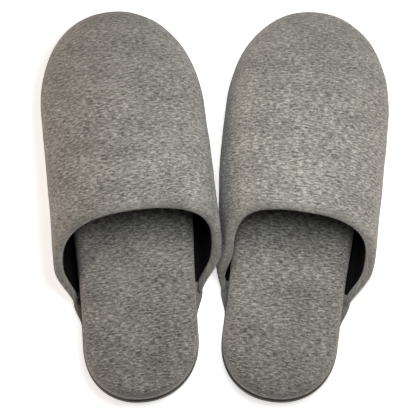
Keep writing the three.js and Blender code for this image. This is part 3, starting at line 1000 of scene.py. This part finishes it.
def layCloth(mesh):
    # the cover's lie: flat on top, then down the sides
    points = coordinates(mesh)
    depth, out = padDepth(points[:, 0], points[:, 1])
    drop = np.maximum(pad["top"] - points[:, 2], 0)
    lie = (points[:, :2] + out * drop[:, None]) / clothUnit
    layer = mesh.uv_layers.get("cloth") or mesh.uv_layers.new(name="cloth")
    corners = np.zeros(len(mesh.loops), int)
    mesh.loops.foreach_get("vertex_index", corners)
    layer.data.foreach_set("uv", lie[corners].ravel())


def shiftLie(mesh, amount):
    # so that no two pieces are cut from the same place of the cloth
    corners = np.zeros(len(mesh.loops) * 2)
    layer = mesh.uv_layers["cloth"]
    layer.data.foreach_get("uv", corners)
    layer.data.foreach_set("uv", corners + amount)


def copyPattern(name, pattern, material):
    piece = pattern.copy()
    piece.data = pattern.data.copy()
    piece.name = piece.data.name = name
    bpy.context.scene.collection.objects.link(piece)
    piece.data.materials.clear()
    piece.data.materials.append(material)
    piece.data.vertices.foreach_set("co", (coordinates(piece.data) / mm).ravel())
    piece.data.update()
    return piece


def makeFootbed(name, pattern, seed):
    cover = copyPattern(name + "_footbed_cover_jersey", pattern, materials["footbedJerseyPaintedShade"])
    layCloth(cover.data)
    shiftLie(cover.data, seed)
    filling = copyPattern(name + "_footbed_foam_pad", pattern, materials["padding"])
    points = coordinates(filling.data)
    normals = np.zeros(len(points) * 3)
    filling.data.vertices.foreach_get("normal", normals)
    points = points - normals.reshape(-1, 3) * pad["coverThickness"]
    points[:, 2] = np.maximum(points[:, 2], pad["boardTop"])
    filling.data.vertices.foreach_set("co", points.ravel())
    for piece, packed in ((cover, "_footbed_cover"), (filling, "_footbed_foam")):
        piece.data.shade_smooth()
        setDown(piece, name, False)
        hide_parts(name + packed)
    return cover, filling


# The outsole, cut from a sheet of foam.
outsole = {
    "thickness": 5,
    "edge": 0.8,
    "grooveDepth": 1.5,
    "grooveWidth": 3,
    "grooveRound": 0.45,  # radius of its ends, as a share of its width
    "groovePitch": 13,
    "border": 9,
    "heelTread": (22, 84),
    "foreTread": (138, 262),
}


def makeOutsole(name):
    edge = soleOutline(0)
    deselectAll()
    bpy.ops.mesh.primitive_circle_add(vertices=len(edge), radius=outsole["edge"], fill_type="NGON")
    sole = bpy.context.object
    sole.name = sole.data.name = name + "_outsole_foam"
    for corner, (x, y) in zip(sole.data.vertices, edge):
        corner.co = (x, y, 0)
    bpy.ops.object.mode_set(mode="EDIT")
    bpy.ops.mesh.select_all(action="SELECT")
    bpy.ops.mesh.extrude_region_move(TRANSFORM_OT_translate={"value": (0, 0, outsole["thickness"])})
    bpy.ops.mesh.select_all(action="SELECT")
    bpy.ops.mesh.normals_make_consistent(inside=False)
    selectParts(sole, "EDGE", lambda line: len({abs(f.normal.z) > 0.5 for f in line.link_faces}) == 2)
    bpy.ops.mesh.bevel(offset=outsole["edge"], segments=3)
    bpy.ops.object.mode_set(mode="OBJECT")
    cutTread(sole)
    sole.data.materials.clear()
    sole.data.materials.append(materials["sole"])
    pick(sole)
    bpy.ops.object.shade_smooth_by_angle(angle=math.radians(30))
    deselectAll()
    setDown(sole, name, False)
    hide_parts(name + "_outsole")
    return sole


def isUpright(line):
    a, b = (v.co for v in line.verts)
    return abs((a - b).normalized().z) > 0.9


def cutTread(sole):
    # one round-ended bar for each groove, all taken out of the underside at once
    bars = []
    for start, stop in (outsole["heelTread"], outsole["foreTread"]):
        for y in np.arange(start, stop + 0.1, outsole["groovePitch"]):
            reach = grooveReach(y)
            deselectAll()
            bpy.ops.mesh.primitive_cube_add(size=1, location=(0, y, 0), scale=(
                2 * reach, outsole["grooveWidth"], 2 * outsole["grooveDepth"]))
            bar = bpy.context.object
            bpy.ops.object.transform_apply(location=True, rotation=True, scale=True)
            selectParts(bar, "EDGE", isUpright)
            bpy.ops.mesh.bevel(offset=outsole["grooveWidth"] * outsole["grooveRound"], segments=4)
            bpy.ops.object.mode_set(mode="OBJECT")
            bars.append(bar)
    cutter = joinAll(bars)
    pick(sole)
    cut = sole.modifiers.new("tread", "BOOLEAN")
    cut.operation = "DIFFERENCE"
    cut.solver = "EXACT"
    cut.object = cutter
    bpy.ops.object.modifier_apply(modifier=cut.name)
    bpy.data.objects.remove(cutter, do_unlink=True)


def grooveReach(y):
    # half-length of a groove: the outsole's half-width there, less its plain border
    inset = soleOutline(outsole["border"])
    right = inset[: len(inset) // 2 + 1]
    return float(np.interp(y, right[:, 1], right[:, 0]))


def colourFrameNodes(name):
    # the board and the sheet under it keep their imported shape
    for kept, finish in (("_insole_board", "board"), ("_bottom_filler", "sole")):
        piece = bpy.data.objects[name + kept]
        piece.data.materials.clear()
        piece.data.materials.append(materials[finish])


lies = {"vamp": 3.1, "vampStep": 5, "footbedStep": 0.37}  # where each slipper's cloth is cut from
vampCoverGrid = vampGrid()
footbedPattern = makePattern()
stitchPattern = makeStitch()
say("patterns ready")
for seed, name in enumerate(("left", "right")):
    body = name + "_slipper"
    made = [makeVampCover(name, lies["vamp"] + lies["vampStep"] * seed), makeLining(name)]
    made.append(closedLayer(name, inner["foam"], "padding"))
    made.append(closedLayer(name, inner["stiffener"], "stiffener"))
    made += makeFootbed(name, footbedPattern, lies["footbedStep"] * seed)
    made.append(makeOutsole(name))
    made.append(makeStitches(name, stitchPattern))
    for piece in made:
        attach(piece, body)
    colourFrameNodes(name)
    say(name + " slipper made")
for pattern in (footbedPattern, stitchPattern):
    bpy.data.objects.remove(pattern, do_unlink=True)


# Floor, lights and camera.
stage = {
    "floorSize": 6.0,
    "floorColour": (0.95, 0.95, 0.95),
    "floorMottle": 0.985,
    "floorGrain": (9, 9, 9),
    "floorGlow": 0.6,  # a lit sweep under the pair
    "skyColour": (1.0, 1.0, 1.0),
    "skyStrength": 0.09,
}
lamps = {
    "key": {"place": (0.07, 0.01, 0.33), "aim": (0.02, 0.0, 0.03), "size": 0.24, "watts": 1.24,
            "colour": (1.0, 0.985, 0.96)},
    "rightSide": {"place": (0.9, 0.05, 0.30), "aim": (0.10, 0.02, 0.03), "size": 0.3, "watts": 3.0,
                  "colour": (1.0, 0.80, 0.66)},
    "leftSide": {"place": (-0.9, 0.05, 0.30), "aim": (-0.10, 0.02, 0.03), "size": 0.3, "watts": 4.2,
                 "colour": (1.0, 0.76, 0.60)},
}
eye = {
    "target": (0.0, 0.0, 0.020),
    "elevation": math.radians(71.87),
    "azimuth": math.radians(0.12),
    "roll": math.radians(-0.34),
    "distance": 1.3327,
    "lens": 166.1,
    "sensor": 36.0,
    "shift": (-0.0154, -0.0230),
}


def layFloor():
    deselectAll()
    bpy.ops.mesh.primitive_plane_add(size=stage["floorSize"], location=(0, 0, 0))
    floor = bpy.context.object
    floor.name = "studio_floor"
    material, tree, shader = newMaterial("paleFloor", stage["floorColour"])
    place = node(tree, "TexCoord").outputs["Object"]
    grain = noiseOn(tree, place, stage["floorGrain"], 3.0, 0.5, "3D")
    low = tuple(c * stage["floorMottle"] for c in stage["floorColour"])
    tree.links.new(ramp(tree, grain, [(0.3, low), (0.7, stage["floorColour"])]), shader.inputs["Base Color"])
    shader.inputs["Roughness"].default_value = 0.9
    shader.inputs["Specular IOR Level"].default_value = 0.1
    shader.inputs["Emission Color"].default_value = (1, 1, 1, 1)
    shader.inputs["Emission Strength"].default_value = stage["floorGlow"]
    floor.data.materials.append(material)
    deselectAll()


def hangLamps():
    world = bpy.data.worlds.new("studio")
    bpy.context.scene.world = world
    world.use_nodes = True
    sky = world.node_tree.nodes["Background"]
    sky.inputs["Color"].default_value = (*stage["skyColour"], 1)
    sky.inputs["Strength"].default_value = stage["skyStrength"]
    for name, lamp in lamps.items():
        light = bpy.data.lights.new(name, "AREA")
        light.shape = "DISK"
        light.size = lamp["size"]
        light.energy = lamp["watts"]
        light.color = lamp["colour"]
        holder = bpy.data.objects.new(name, light)
        bpy.context.scene.collection.objects.link(holder)
        holder.location = lamp["place"]
        ray = Vector(lamp["aim"]) - Vector(lamp["place"])
        holder.rotation_euler = ray.to_track_quat("-Z", "Y").to_euler()


def setCamera():
    camera = bpy.data.cameras.new("viewer")
    camera.lens = eye["lens"]
    camera.sensor_width = eye["sensor"]
    camera.shift_x, camera.shift_y = eye["shift"]
    camera.clip_start, camera.clip_end = 0.05, 20
    camera.dof.use_dof = False
    az, el = eye["azimuth"], eye["elevation"]
    back = Vector((math.sin(az) * math.cos(el), -math.cos(az) * math.cos(el), math.sin(el)))
    right = Vector((math.cos(az), math.sin(az), 0))
    up = back.cross(right)
    turned = Matrix((right, up, back)).transposed() @ Matrix.Rotation(-eye["roll"], 3, "Z")
    holder = bpy.data.objects.new("viewer", camera)
    bpy.context.scene.collection.objects.link(holder)
    place = Vector(eye["target"]) + back * eye["distance"]
    holder.matrix_world = Matrix.Translation(place) @ turned.to_4x4()
    bpy.context.scene.camera = holder


layFloor()
hangLamps()
setCamera()
bpy.context.scene.view_settings.view_transform = "Standard"
say("stage, lamps and camera set")
